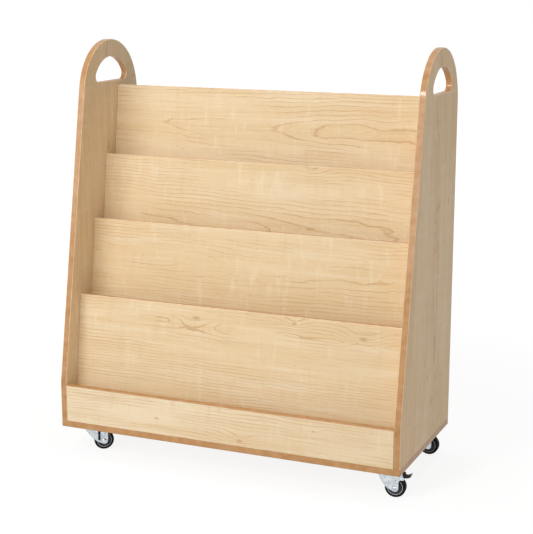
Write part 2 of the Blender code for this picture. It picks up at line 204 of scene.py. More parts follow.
def join(piece, others):
    workOn(piece)
    for other in others:
        other.select_set(True)
    bpy.ops.object.join()
    return piece


def roundEdges(piece, width, segments, test=None, angle=50):
    # bevels the edges that are sharper than the angle and pass the test
    workOn(piece, "EDIT")
    limit = math.radians(angle)
    if pick("EDGE", lambda e: e.calc_face_angle(0) > limit and (test is None or test(e))):
        bpy.ops.mesh.bevel(offset=width, segments=segments, affect="EDGES", clamp_overlap=True)
    clearSelection()


def smoothShade(piece, angle=40):
    # flat faces stay flat beside their rounded edges
    workOn(piece)
    bpy.ops.object.shade_smooth_by_angle(angle=math.radians(angle))
    weighted = piece.modifiers.new("flat faces", "WEIGHTED_NORMAL")
    weighted.keep_sharp = True
    bpy.ops.object.modifier_apply(modifier=weighted.name)


def paint(piece, materials, rule=lambda face: 0):
    # the rule gives each face the number of its material
    piece.data.materials.clear()
    for material in materials:
        piece.data.materials.append(material)
    for face in piece.data.polygons:
        face.material_index = rule(face)


def standFor(piece, node):
    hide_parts(node)
    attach(piece, bodyOf[node])


# Maple-pattern foil on fibreboard, pressed flat: pale cream, satin and quiet. Its print shows thin growth
# lines round a log that lies behind the board, a ripple across the grain, fine fibres and a few small knots.
# The printed fibres and pores, in fact about 0.1 mm wide, are drawn 1 to 4 mm wide so that they show.
mapleFoil = {
    "warm": "#DDBC8C", "pale": "#F2E4C9", "line": "#C0935F", "pore": "#C9A473", "knot": "#AF8252",
    "ringSpacing": 0.0075, "lineShare": 0.24, "wander": 0.024, "fray": 0.0026, "roughness": 0.48,
    "fineSpacing": 0.0075 / 3.6, "fineShare": 0.35, "knotDarkness": 0.48, "relief": 0.00008,
    "reliefStrength": 0.25,
    # patterns per metre along the grain and across it, detail, roughness
    "patterns": {"tone": (1.4, 12, 3, 0.5), "patches": (4.0, 18, 2, 0.5), "ripple": (55, 13, 2, 0.55),
                 "streaks": (2.5, 60, 4, 0.6), "fibres": (7, 260, 4, 0.65), "pores": (60, 700, 1, 0.5)},
    # colour, pattern, where it starts, where it is full, how strong
    "layers": [("warm", "tone", 0.42, 0.70, 0.40), ("pale", "tone", 0.50, 0.28, 0.30),
               ("pale", "streaks", 0.52, 0.74, 0.40), ("warm", "streaks", 0.48, 0.26, 0.50),
               ("pale", "ripple", 0.55, 0.74, 0.28), ("warm", "ripple", 0.44, 0.24, 0.30),
               ("warm", "rings", 0.00, 1.00, 0.18), ("line", "lines", 0.00, 1.00, 0.62),
               ("line", "fineLines", 0.00, 1.00, 0.16), ("pale", "fibres", 0.52, 0.78, 0.40),
               ("pore", "fibres", 0.46, 0.22, 0.45), ("pore", "pores", 0.64, 0.76, 0.45)],
}


def makeMapleFoil(name, ground, grain, heart, tilt, knots=()):
    # grain is the axis that the fibres follow; heart is a point of the log's own axis, which tilt turns
    look = mapleFoil
    material, tree, shader = newMaterial(name, {"IOR": 1.5, "Specular IOR Level": 0.22})
    place = addNode(tree, "ShaderNodeTexCoord").outputs["Object"]
    along = Vector([axis == grain for axis in "XYZ"])
    across = Vector((1, 1, 1)) - along
    made = {}
    for pattern, (perAlong, perAcross, detail, roughness) in look["patterns"].items():
        stretched = addNode(tree, "ShaderNodeVectorMath", {"operation": "MULTIPLY",
                            1: along * perAlong + across * perAcross}, {0: place})
        made[pattern] = addNode(tree, "ShaderNodeTexNoise",
                                {"Scale": 1.0, "Detail": detail, "Roughness": roughness},
                                {"Vector": stretched.outputs[0]}).outputs["Fac"]

    # growth rings: distance from the log's axis, which wanders slowly
    slow = addNode(tree, "ShaderNodeVectorMath", {"operation": "MULTIPLY", 1: along * 5 + across * 14},
                   {0: place})
    wander = addNode(tree, "ShaderNodeTexNoise", {"Scale": 1.0, "Detail": 4.0, "Roughness": 0.5},
                     {"Vector": slow.outputs[0]})
    shifted = addNode(tree, "ShaderNodeVectorMath", {"operation": "MULTIPLY_ADD", 1: [look["wander"]] * 3},
                      {0: wander.outputs["Color"], 2: place})
    log = addNode(tree, "ShaderNodeMapping", {"vector_type": "TEXTURE", "Location": heart, "Rotation": tilt},
                  {"Vector": shifted.outputs[0]})
    flat = addNode(tree, "ShaderNodeVectorMath", {"operation": "MULTIPLY", 1: across}, {0: log.outputs[0]})
    smooth = addNode(tree, "ShaderNodeVectorMath", {"operation": "LENGTH"}, {0: flat.outputs[0]})
    # the fibres fray the lines
    radius = addNode(tree, "ShaderNodeMath", {"operation": "MULTIPLY_ADD", 1: look["fray"]},
                     {0: made["fibres"], 2: smooth.outputs["Value"]}).outputs[0]

    # a knot pushes the rings aside and darkens at its heart
    knotShades = []
    for spot, size in knots:
        offset = addNode(tree, "ShaderNodeVectorMath", {"operation": "SUBTRACT", 1: spot}, {0: place})
        squeezed = addNode(tree, "ShaderNodeVectorMath", {"operation": "MULTIPLY", 1: along * 0.5 + across},
                           {0: offset.outputs[0]})
        away = addNode(tree, "ShaderNodeVectorMath", {"operation": "LENGTH"},
                       {0: squeezed.outputs[0]}).outputs["Value"]
        push = addNode(tree, "ShaderNodeMapRange", {"interpolation_type": "SMOOTHERSTEP", "From Min": 0.0,
                       "From Max": size * 6, "To Min": size * 2.0, "To Max": 0.0}, {"Value": away})
        radius = addNode(tree, "ShaderNodeMath", {"operation": "ADD"},
                         {0: radius, 1: push.outputs[0]}).outputs[0]
        knotShades.append(addNode(tree, "ShaderNodeMapRange", {"interpolation_type": "SMOOTHSTEP",
                                  "From Min": size * 0.15, "From Max": size,
                                  "To Min": look["knotDarkness"], "To Max": 0.0},
                                  {"Value": away}).outputs[0])

    # each year darkens slowly towards its thin late line, which fades in and out
    broken = addNode(tree, "ShaderNodeMapRange", {"interpolation_type": "SMOOTHSTEP", "From Min": 0.36,
                     "From Max": 0.60}, {"Value": made["patches"]})
    for lines, spacing, share in (("lines", look["ringSpacing"], look["lineShare"]),
                                  ("fineLines", look["fineSpacing"], look["fineShare"])):
        years = addNode(tree, "ShaderNodeMath", {"operation": "DIVIDE", 1: spacing}, {0: radius})
        year = addNode(tree, "ShaderNodeMath", {"operation": "FRACT"}, {0: years.outputs[0]}).outputs[0]
        if lines == "lines":
            made["rings"] = addNode(tree, "ShaderNodeMath", {"operation": "MULTIPLY"},
                                    {0: year, 1: broken.outputs[0]}).outputs[0]
        fromLine = addNode(tree, "ShaderNodeMath", {"operation": "PINGPONG", 1: 0.5}, {0: years.outputs[0]})
        narrow = addNode(tree, "ShaderNodeMapRange", {"interpolation_type": "SMOOTHSTEP", "From Min": 0.0,
                         "From Max": share / 2, "To Min": 1.0, "To Max": 0.0}, {"Value": fromLine.outputs[0]})
        made[lines] = addNode(tree, "ShaderNodeMath", {"operation": "MULTIPLY"},
                              {0: narrow.outputs[0], 1: broken.outputs[0]}).outputs[0]

    colour = None
    for tint, pattern, start, full, strength in look["layers"]:
        shown = addNode(tree, "ShaderNodeMapRange", {"interpolation_type": "SMOOTHSTEP", "From Min": start,
                        "From Max": full, "To Max": strength}, {"Value": made[pattern]})
        colour = addNode(tree, "ShaderNodeMix", {"data_type": "RGBA", 6: ground, 7: look[tint]},
                         {0: shown.outputs[0], **({6: colour} if colour else {})}).outputs[2]
    for shade in knotShades:
        colour = addNode(tree, "ShaderNodeMix", {"data_type": "RGBA", 7: look["knot"]},
                         {0: shade, 6: colour}).outputs[2]
    tree.links.new(colour, shader.inputs["Base Color"])
    rough = addNode(tree, "ShaderNodeMapRange", {"To Min": look["roughness"] - 0.06,
                    "To Max": look["roughness"] + 0.08}, {"Value": made["fibres"]})
    tree.links.new(rough.outputs[0], shader.inputs["Roughness"])
    bump = addNode(tree, "ShaderNodeBump", {"Strength": look["reliefStrength"], "Distance": look["relief"]},
                   {"Height": made["fibres"]})
    tree.links.new(bump.outputs[0], shader.inputs["Normal"])
    return material


# The other finishes are two colours mixed by a soft noise, with a fine grain in roughness and relief.
# grain and cloud are the sizes of those patterns in metres, depth is the relief of the grain. The grain
# of fibres, moulding marks and zinc crystals is finer than this on the real thing, too fine to show.
plainFinishes = {
    # fibreboard edge, routed, sanded and clear-lacquered: warm brown, soft gloss
    "lacquered fibreboard edge": {
        "dark": "#B5824F", "light": "#C99B6C", "grain": 0.0012, "cloud": 0.020, "depth": 0.00006,
        "roughness": 0.40, "shader": {"IOR": 1.5, "Specular IOR Level": 0.15, "Coat Weight": 0.25,
                                      "Coat Roughness": 0.12}},
    # rounded arris of the same board: a thin pale line, a painted highlight where light glints on the rounding
    "fibreboard arris with painted highlight": {
        "dark": "#DDB78C", "light": "#EBCFAC", "grain": 0.0012, "cloud": 0.020, "depth": 0.00004,
        "roughness": 0.40, "shader": {"IOR": 1.5, "Specular IOR Level": 0.15, "Coat Weight": 0.25,
                                      "Coat Roughness": 0.12}},
    # bright zinc plate on pressed steel: cool, slightly clouded metal
    "bright zinc plate": {
        "dark": "#AEB8C0", "light": "#E6ECEF", "grain": 0.0022, "cloud": 0.008, "depth": 0.00005,
        "roughness": 0.26, "shader": {"Metallic": 1.0}},
    # tyre of black rubber, moulded: matt, nearly black
    "black rubber": {
        "dark": "#060608", "light": "#0F0F13", "grain": 0.0010, "cloud": 0.006, "depth": 0.00006,
        "roughness": 0.70, "shader": {"IOR": 1.5, "Specular IOR Level": 0.15}},
    # wheel core of dark grey nylon, moulded: satin
    "dark grey nylon": {
        "dark": "#38383E", "light": "#4C4C52", "grain": 0.0014, "cloud": 0.008, "depth": 0.00004,
        "roughness": 0.44, "shader": {"IOR": 1.53, "Specular IOR Level": 0.3}},
    # raised ring of the wheel core, paler than the dish
    "pale grey nylon": {
        "dark": "#A5A5B0", "light": "#B8B9C2", "grain": 0.0014, "cloud": 0.008, "depth": 0.00004,
        "roughness": 0.40, "shader": {"IOR": 1.53, "Specular IOR Level": 0.4}},
    # brake pedal of glass-filled polyamide, moulded: black, satin
    "black polyamide": {
        "dark": "#121212", "light": "#222120", "grain": 0.0009, "cloud": 0.007, "depth": 0.00008,
        "roughness": 0.42, "shader": {"IOR": 1.53, "Specular IOR Level": 0.3}},
}


def makePlainFinish(name):
    look = plainFinishes[name]
    material, tree, shader = newMaterial(name, look["shader"])
    place = addNode(tree, "ShaderNodeTexCoord").outputs["Object"]
    grain = addNode(tree, "ShaderNodeTexNoise",
                    {"Scale": 1 / look["grain"], "Detail": 4.0, "Roughness": 0.65},
                    {"Vector": place}).outputs["Fac"]
    cloud = addNode(tree, "ShaderNodeTexNoise", {"Scale": 1 / look["cloud"], "Detail": 3.0},
                    {"Vector": place}).outputs["Fac"]
    both = addNode(tree, "ShaderNodeMath", {"operation": "ADD"}, {0: grain, 1: cloud})
    share = addNode(tree, "ShaderNodeMapRange", {"From Min": 0.75, "From Max": 1.25},
                    {"Value": both.outputs[0]})
    colour = addNode(tree, "ShaderNodeMix", {"data_type": "RGBA", 6: look["dark"], 7: look["light"]},
                     {0: share.outputs[0]})
    tree.links.new(colour.outputs[2], shader.inputs["Base Color"])
    rough = addNode(tree, "ShaderNodeMapRange", {"To Min": look["roughness"] - 0.08,
                    "To Max": look["roughness"] + 0.10}, {"Value": grain})
    tree.links.new(rough.outputs[0], shader.inputs["Roughness"])
    bump = addNode(tree, "ShaderNodeBump", {"Strength": 0.3, "Distance": look["depth"]}, {"Height": grain})
    tree.links.new(bump.outputs[0], shader.inputs["Normal"])
    return material


(edgeLacquer, paintedArrisHighlight, zinc, tyreRubber, darkNylon, paleNylon,
 blackPolyamide) = map(makePlainFinish, plainFinishes)

# one log for each board, so that no two boards show the same grain; a knot is its place and radius. The tier
# and top boards get darker grounds than the lip, as painted shade on the boards behind the lip
foils = {}
for node, ground, logDepth, logRise, tiltDegrees, knots in (
        ("front_fascia", "#EFDAB7", 0.030, -0.110, 1.2,
         [((-0.170, -0.193, 0.123), 0.0045), ((0.044, -0.193, 0.097), 0.0060),
          ((0.226, -0.193, 0.145), 0.0030)]),
        ("tier_2_board", "#E7CCA3", 0.028, 0.118, -1.6,
         [((-0.100, -0.118, 0.356), 0.0075), ((0.315, -0.119, 0.350), 0.0075),
          ((0.148, -0.117, 0.368), 0.0050)]),
        ("tier_3_board", "#E7CCA3", 0.050, 0.060, 1.8, [((-0.21, -0.055, 0.560), 0.0060)]),
        ("tier_4_board", "#E7CDA5", 0.070, -0.040, 2.2, [((0.13, 0.020, 0.690), 0.0060)]),
        ("top_board", "#E7CDA5", 0.060, 0.045, -2.0, [])):
    low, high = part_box(node)
    heart = ((low.x + high.x) / 2, (low.y + high.y) / 2 + logDepth, (low.z + high.z) / 2 + logRise)
    foils[node] = makeMapleFoil("maple foil " + node, ground, "X", heart,
                                (0, 0, math.radians(tiltDegrees)), knots)
levelFoil = makeMapleFoil("maple foil level boards", "#E7CDA5", "X", (0.1, 0.03, -0.12),
                          (0, math.radians(2), 0))
leftFoil = makeMapleFoil("maple foil left panel", "#E8CEA8", "Z", (-0.35, 0.05, 0.3),
                         (0, math.radians(-2.0), 0))
rightFoil = makeMapleFoil("maple foil right panel", "#ECCCA1", "Z", (0.35, 0.06, 0.3),
                          (0, math.radians(2.2), 0),
                          [((0.43, 0.000, 0.241), 0.0065), ((0.43, 0.034, 0.570), 0.0060),
                           ((0.43, 0.136, 0.632), 0.0065), ((0.43, 0.069, 0.512), 0.0050)])
print("finishes: made")

boards = {"lean": math.radians(7.5), "thickness": 0.016, "rounding": 0.0025, "easing": 0.0020,
          "shelfEasing": 0.0008, "segments": 5, "longEdge": 0.1, "pilotRadius": 0.0023, "pilotDepth": 0.0105}


def finishBoard(board, foil, node, faceNormal):
    # foil on the two broad faces and lacquer on the edges; the rounding gets a pale painted highlight, but not
    # on the lip
    def finishOf(face):
        leaning = abs(face.normal.dot(faceNormal))
        return 0 if leaning > 0.999 else 2 if leaning > 0.30 and node != "front_fascia" else 1

    smoothShade(board)
    paint(board, [foil, edgeLacquer, paintedArrisHighlight], finishOf)
    standFor(board, node)


def makeBase():
    # square along its top, where the panels and the lip stand flush with it
    low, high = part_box("base_board")
    base = addBox("base", low, high)
    roundEdges(base, boards["rounding"], boards["segments"],
               lambda e: min(v.co.z for v in e.verts) < high.z - hair)
    for node in bodyOf:
        if "_screw_" in node:
            screwLow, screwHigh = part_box(node)
            middle = (screwLow + screwHigh) / 2
            clearSelection()
            bpy.ops.mesh.primitive_cylinder_add(vertices=16, radius=boards["pilotRadius"],
                                                depth=boards["pilotDepth"],
                                                location=(middle.x, middle.y, low.z + 0.00475))
            combine(base, "DIFFERENCE", settle("pilot_hole"))
    # foil on its upper face, lacquer all round and below; the dark lacquer below is partly painted shade, which
    # darkens the underside where the zinc parts reflect it
    smoothShade(base)
    paint(base, [edgeLacquer, levelFoil], lambda face: 1 if face.normal.z > 0.999 else 0)
    standFor(base, "base_board")


endPanel = {"archRadius": 0.1315, "bendHeight": 0.0957, "bendLength": 0.0054, "arcSteps": 192,
            "holeRadius": 0.090, "holeBack": 0.002, "holeRise": 0.0305, "holeCorner": 0.014,
            "toolReach": 0.02}


def makeHandHole(centre, halfLength):
    # an arc above a straight lower side, with rounded corners between them
    radius, corner = endPanel["holeRadius"], endPanel["holeCorner"]
    cornerRise = endPanel["holeRise"] + corner
    cornerReach = math.sqrt((radius - corner) ** 2 - cornerRise ** 2)
    start = math.degrees(math.atan2(cornerRise, cornerReach))
    outline = arcPoints((0, 0), radius, start, 180 - start, 64)
    outline += arcPoints((-cornerReach, cornerRise), corner, 180 - start, 270, 12)[1:]
    outline += arcPoints((cornerReach, cornerRise), corner, 270, 360 + start, 12)[:-1]
    hole = drawOutline("hand_hole", [centre + Vector((-halfLength, y, z)) for y, z in outline])
    return thicken(hole, (2 * halfLength, 0, 0))


def makeEndPanel(name, node, foil):
    low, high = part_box(node)
    radius = endPanel["archRadius"]
    centre = Vector((low.x, high.y - radius, high.z - radius))
    bend = Vector((low.x, low.y, low.z + endPanel["bendHeight"]))
    reach = math.hypot(centre.y - bend.y, centre.z - bend.z)
    tangent = math.atan2(centre.z - bend.z, centre.y - bend.y) + math.asin(radius / reach) + math.pi / 2
    clearSelection()
    bpy.ops.mesh.primitive_circle_add(vertices=endPanel["arcSteps"], radius=radius, location=centre,
                                      rotation=(math.pi / 2, 0, math.pi / 2))
    panel = settle(name)
    workOn(panel, "EDIT")
    # the arch is kept between the upright rear edge and the slope in front
    pick("VERT", lambda v: (math.atan2(v.co.z - centre.z, v.co.y - centre.y) + 0.001) % math.tau > tangent)
    bpy.ops.mesh.delete(type="VERT")
    front = centre + Vector((0, math.cos(tangent), math.sin(tangent))) * radius
    rear = Vector((low.x, high.y, centre.z))
    for start, corners in ((rear, [Vector((low.x, high.y, low.z))]), (front, [bend, low.copy()])):
        form = bmesh.from_edit_mesh(panel.data)
        last = min(form.verts, key=lambda v: (v.co - start).length).co.copy()
        pick("VERT", lambda v: (v.co - last).length < hair)
        for corner in corners:
            extrudeBy(Vector((low.x, corner.y, corner.z)) - last)
            last = Vector((low.x, corner.y, corner.z))
    bpy.ops.mesh.select_all(action="SELECT")
    bpy.ops.mesh.edge_face_add()
    pick("VERT", lambda v: (v.co - bend).length < hair)
    bpy.ops.mesh.bevel(offset=endPanel["bendLength"], segments=8, affect="VERTICES")
    thicken(panel, (high.x - low.x, 0, 0))
    hole = Vector(((low.x + high.x) / 2, centre.y + endPanel["holeBack"], centre.z))
    combine(panel, "DIFFERENCE", makeHandHole(hole, endPanel["toolReach"]))
    foot = low.z + hair
    outer = high.x if high.x > 0 else low.x
    # rounded on the outside, only eased on the side of the boards
    for rounding, outside in ((boards["rounding"], True), (boards["easing"], False)):
        roundEdges(panel, rounding, boards["segments"],
                   lambda e: abs(e.verts[0].co.x - e.verts[1].co.x) < hair
                   and max(v.co.z for v in e.verts) > foot
                   and (abs(e.verts[0].co.x - outer) < 0.001) == outside, 60)
    finishBoard(panel, foil, node, Vector((1, 0, 0)))


def makeLip():
    low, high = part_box("front_fascia")
    lip = addBox("front_lip", low, high)
    roundEdges(lip, boards["rounding"], boards["segments"],
               lambda e: min(v.co.z for v in e.verts) > high.z - hair
               and e.calc_length() > boards["longEdge"])
    finishBoard(lip, foils["front_fascia"], "front_fascia", Vector((0, 1, 0)))


def makeLeaningBoard(node):
    # the lower front corner and the lean give the rest; the foot is sawn level
    low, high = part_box(node)
    lean, thickness, rounding = boards["lean"], boards["thickness"], boards["rounding"]
    up = Vector((0, math.sin(lean), math.cos(lean)))
    back = Vector((0, math.cos(lean), -math.sin(lean)))
    foot = Vector((0, low.y, low.z))
    below = 0.010  # sawn off at the foot
    topRise = high.z - low.z + rounding * (math.sin(lean) + math.cos(lean) - 1)
    length = topRise / up.z + below
    centre = foot + up * (length / 2 - below) + back * thickness / 2
    half = Vector((high.x - low.x, thickness, length)) / 2
    board = addBox(node + "_leaning", centre - half, centre + half, (-lean, 0, 0))
    workOn(board, "EDIT")
    bpy.ops.mesh.bisect(plane_co=foot, plane_no=(0, 0, -1), use_fill=True, clear_outer=True)
    roundEdges(board, rounding, boards["segments"],
               lambda e: min(v.co.z for v in e.verts) > low.z + topRise - 0.003
               and e.calc_length() > boards["longEdge"])
    finishBoard(board, foils[node], node, back)


def makeShelf(node):
    # its front lies against the leaning board before it, its rear edge is upright
    low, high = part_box(node)
    lean = boards["lean"]
    shelf = addBox(node + "_level", low, high)
    workOn(shelf, "EDIT")
    bpy.ops.mesh.bisect(plane_co=(0, low.y, low.z), plane_no=(0, -math.cos(lean), math.sin(lean)),
                        use_fill=True, clear_outer=True)
    roundEdges(shelf, boards["shelfEasing"], 3, lambda e: min(v.co.y for v in e.verts) > high.y - hair
               and e.calc_length() > boards["longEdge"])
    finishBoard(shelf, levelFoil, node, Vector((0, 0, 1)))


makeBase()
makeEndPanel("left_panel", "left_end_panel", leftFoil)
makeEndPanel("right_panel", "right_end_panel", rightFoil)
makeLip()
for node in ("tier_2_board", "tier_3_board", "tier_4_board", "top_board"):
    makeLeaningBoard(node)
for node in ("tier_2_shelf", "tier_3_shelf", "tier_4_shelf"):
    makeShelf(node)
print("cabinet: made")

# Each castor piece is made once, with the swivel axis at x 0 and the wheel trailing towards +X, and copied.
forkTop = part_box("castor_front_left_fork")[1].z
castor = {"offset": 0.028, "wheelRadius": 0.024, "sheet": 0.002, "innerWidth": 0.023, "nose": 0.0170,
          "tail": 0.0455, "bossRadius": 0.0085, "axleRadius": 0.003, "screwSpacing": 0.045,
          "pedalPivot": (0.0385, 0, 0.053), "slotMiddle": 0.0155, "slotWidth": 0.0060, "slotLength": 0.0300,
          "legHole": (0.0300, 0, 0.0420), "legHoleRadius": 0.0012, "kingpinHole": 0.0043,
          "pedalPinHole": 0.0017, "screwHole": 0.0023, "foldRadius": 0.0028, "throatRadius": 0.0012,
          "breakEdge": 0.0003, "toolReach": 0.02, "plateCorner": 0.007, "plateEdge": 0.0004,
          "ballRing": 0.014, "balls": 20, "nutRadius": 0.0056, "washerRadius": 0.0064,
          "ringInner": 0.0160, "ringFace": 0.0078, "pedalArmHalf": 0.0106, "pedalPadHalf": 0.0085,
          "pedalEdge": 0.0006, "grooveRadius": 0.0006}
outerHalf = castor["innerWidth"] / 2 + castor["sheet"]
axleAt = Vector((castor["offset"], 0, castor["wheelRadius"]))
layDown = Matrix.Rotation(math.pi / 2, 4, "X")  # a piece turned round Z then runs along Y, its top towards -Y


def sideOutline(name, points, halfWidth):
    # (x, z) points drawn on one side and extruded across to the other
    piece = drawOutline(name, [(x, -halfWidth, z) for x, z in points])
    return thicken(piece, (0, 2 * halfWidth, 0))


def makeFork(braked):
    top, axleZ = forkTop, castor["wheelRadius"]
    behind = castor["offset"] + castor["bossRadius"]
    if braked:
        # a curved front edge, and a tail behind the throat that carries the pedal
        leg = [(-0.0130, top), (-0.0122, 0.0570), (-0.0088, 0.0520), (-0.0050, 0.0420), (0.0002, 0.0345),
               (0.0062, 0.0275), (0.0105, 0.0232)]
    else:
        leg = [(-castor["nose"], top), (-castor["nose"], axleZ + 0.0290), (-0.0075, axleZ + 0.0170),
               (0.0010, axleZ + 0.0070), (0.0100, axleZ - 0.0010)]
    leg += arcPoints((castor["offset"], axleZ), castor["bossRadius"], 245, 360, 14)
    if braked:
        leg += arcPoints((behind + 0.005, axleZ + 0.0147), 0.005, 180, 90, 6)
        leg += [(0.0480, 0.0437), (0.0490, 0.0472), (castor["tail"], 0.0547), (castor["tail"], top)]
    else:
        leg.append((behind, top))
    fork = sideOutline("fork", leg, outerHalf)
    # the sheet is folded down over the wheel, so its outer corners are round
    roundEdges(fork, castor["foldRadius"], 5, lambda e: abs(e.verts[0].co.y - e.verts[1].co.y) < hair
               and min(v.co.z for v in e.verts) > top - hair, 60)
    under = top - castor["sheet"]
    head = turn("fork_head", [(0, under), (0.0195, under), (0.021, top - 0.0008), (0.021, top - 0.0002),
                              (0.0190, top + 0.0006), (0.0184, top + 0.0032), (0.0168, top + 0.0032),
                              (0.0162, top), (0, top)], 72)
    combine(fork, "UNION", head)
    # the crown bulges over the ball race
    crown = turn("crown", [(0, 0.0500), (0.0142, 0.0500), (0.0158, 0.0525), (0.0160, 0.0570),
                           (0.0152, top - 0.0005), (0, top - 0.0005)], 72)
    combine(fork, "UNION", crown)
    inside = castor["innerWidth"] / 2
    space = addBox("wheel_space", (-0.05, -inside, -0.01), (0.09, inside, under))
    roundEdges(space, castor["throatRadius"], 3, lambda e: min(v.co.z for v in e.verts) > 0.03
               and abs(e.verts[0].co.y - e.verts[1].co.y) < hair, 60)
    combine(fork, "DIFFERENCE", space)
    if not braked:
        half, middle = castor["slotWidth"] / 2, castor["slotMiddle"]
        high = under - 0.0040 - half
        slot = arcPoints((middle, high), half, 0, 180, 10)
        slot += arcPoints((middle, high - castor["slotLength"] + 2 * half), half, 180, 360, 10)
        combine(fork, "DIFFERENCE", sideOutline("leg_slot", slot, castor["toolReach"]))
    combine(fork, "DIFFERENCE", makeRod("kingpin_hole", castor["kingpinHole"], top - 0.008, top + 0.008, 40))
    holes = [(axleAt, castor["axleRadius"] + 0.0002), (castor["legHole"], castor["legHoleRadius"])]
    if braked:
        holes.append((castor["pedalPivot"], castor["pedalPinHole"]))
    for place, radius in holes:
        hole = makeRod("pin_hole", radius, -castor["toolReach"], castor["toolReach"])
        moveBy(hole, Matrix.Translation(place) @ layDown)
        combine(fork, "DIFFERENCE", hole)
    roundEdges(fork, castor["breakEdge"], 2, angle=50)
    smoothShade(fork, 35)
    return fork


def makePlate():
    # pressed plate with rounded corners, five holes and the upper race drawn down round the kingpin
    low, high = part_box("castor_front_left_plate")
    half = (high.x - low.x) / 2
    clearSelection()
    bpy.ops.mesh.primitive_plane_add(size=2 * half, location=(0, 0, low.z))
    plate = settle("plate")
    workOn(plate, "EDIT")
    bpy.ops.mesh.bevel(offset=castor["plateCorner"], segments=8, affect="VERTICES")
    thicken(plate, (0, 0, high.z - low.z))
    race = turn("race", [(0, low.z - 0.0016), (0.0105, low.z - 0.0016), (0.0118, low.z - 0.0006),
                         (0.0125, low.z + 0.0005), (0, low.z + 0.0005)], 56)
    combine(plate, "UNION", race)
    spots = [(0, 0, castor["kingpinHole"])] + [(x, y, castor["screwHole"]) for x, y in screwSpots()]
    for x, y, radius in spots:
        hole = makeRod("hole", radius, low.z - 0.01, high.z + 0.01)
        moveBy(hole, Matrix.Translation((x, y, 0)))
        combine(plate, "DIFFERENCE", hole)
    roundEdges(plate, castor["plateEdge"], 2, angle=50)
    smoothShade(plate, 35)
    return plate


def screwSpots():
    half = castor["screwSpacing"] / 2
    return [(-half, -half), (half, -half), (half, half), (-half, half)]


def makeScrew():
    # pan head with a cross recess, and a pointed shank that bites in the base board
    low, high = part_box("castor_front_left_screw_1")
    headTop = low.z + 0.0022
    dome = arcPoints((0, low.z + 0.0052), 0.0052, 270, 317, 8)
    profile = dome + [(0.0042, low.z + 0.0019), (0.0040, headTop), (0.0020, headTop),
                      (0.0020, high.z - 0.0035), (0, high.z)]
    screw = turn("screw", profile, 40)
    for angle in (0, math.pi / 2):
        blade = addBox("recess", (-0.0019, -0.00042, low.z - 0.001), (0.0019, 0.00042, low.z + 0.0013),
                       (0, 0, angle))
        combine(screw, "DIFFERENCE", blade)
    smoothShade(screw, 35)
    return screw


def makeKingpin():
    low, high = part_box("castor_front_left_kingpin")
    underFork = forkTop - castor["sheet"] - 0.0003
    profile = [(0, low.z), (0.0022, low.z + 0.0001), (0.0050, low.z + 0.0006), (0.0066, low.z + 0.0014),
               (0.0070, low.z + 0.0022), (0.0070, underFork), (0.0040, underFork), (0.0040, high.z),
               (0, high.z)]
    pin = turn("kingpin", profile, 48)
    smoothShade(pin, 35)
    return pin


def makeBearing():
    # balls in a thin cage ring
    low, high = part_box("castor_front_left_bearing")
    centre, radius, count = (low.z + high.z) / 2, castor["ballRing"], castor["balls"]
    cage = turn("bearing", [(radius - 0.0014, centre - 0.0004), (radius + 0.0014, centre - 0.0004),
                            (radius + 0.0014, centre + 0.0004), (radius - 0.0014, centre + 0.0004)], 72)
    balls = []
    for i in range(count):
        angle = math.tau * i / count
        place = (radius * math.cos(angle), radius * math.sin(angle), centre)
        clearSelection()
        bpy.ops.mesh.primitive_uv_sphere_add(segments=16, ring_count=10, radius=(high.z - low.z) / 2,
                                             location=place)
        balls.append(settle("ball"))
    join(cage, balls)
    smoothShade(cage, 40)
    return cage


def makeAxle():
    # bolt with a domed head towards -Y and a chamfered hexagon nut towards +Y
    radius, half = castor["axleRadius"], outerHalf + 0.0003
    bolt = turn("axle", [(0, -half - 0.0034), (0.0020, -half - 0.0034), (radius - 0.0004, -half - 0.0030),
                         (radius - 0.0004, half), (radius, half + 0.001), (0, half + 0.001)], 40)
    low, high = -half - 0.0028, -half
    clearSelection()
    bpy.ops.mesh.primitive_cylinder_add(vertices=6, radius=castor["nutRadius"], depth=high - low,
                                        location=(0, 0, (low + high) / 2))
    nut = settle("nut")
    cone = [(0, low - 0.0002), (0.0049, low - 0.0002), (0.0075, low + 0.0010), (0.0075, high + 0.001),
            (0, high + 0.001)]
    combine(nut, "INTERSECT", turn("chamfer", cone, 48))
    combine(bolt, "UNION", nut)
    dome = arcPoints((0, half - 0.00354), 0.00654, 32.8, 90, 8)[:-1]
    head = [(0, half - 0.001), (0.0055, half - 0.001)] + dome + [(0, half + 0.0030)]
    combine(bolt, "UNION", turn("head", head, 48))
    for low, high in ((half - 0.0002, half + 0.0004), (-half - 0.0004, -half + 0.0002)):
        combine(bolt, "UNION", makeRod("washer", castor["washerRadius"], low, high, 48))
    smoothShade(bolt, 30)
    moveBy(bolt, Matrix.Translation(axleAt) @ layDown)
    return bolt


def makeWheel():
    # one moulding: hub, dished web with a fillet at each side, and the raised ring that holds the tyre
    bore, hub = 0.0032, 0.0065
    side = [(bore, 0.0107), (hub - 0.0006, 0.0107), (hub, 0.0101), (hub + 0.0004, 0.0052),
            (hub + 0.0016, 0.0041), (0.0092, 0.0040), (0.0134, 0.0040), (0.0155, 0.0046), (0.0162, 0.0060),
            (0.0164, 0.0081), (0.0167, 0.0086), (0.0179, 0.0086), (0.0182, 0.0082)]
    wheel = turn("wheel", side + [(radius, -height) for radius, height in reversed(side)], 72)
    smoothShade(wheel, 35)
    moveBy(wheel, Matrix.Translation(axleAt) @ layDown)
    return wheel


def makeTyre():
    inner, outer, half = 0.0184, castor["wheelRadius"], 0.009
    shoulder = 0.0034
    side = [(inner, half - 0.0004), (inner + 0.0004, half)]
    side += arcPoints((outer - shoulder, half - shoulder), shoulder, 90, 0, 10)
    tyre = turn("tyre", side + [(radius, -height) for radius, height in reversed(side)], 96)
    smoothShade(tyre, 35)
    moveBy(tyre, Matrix.Translation(axleAt) @ layDown)
    return tyre


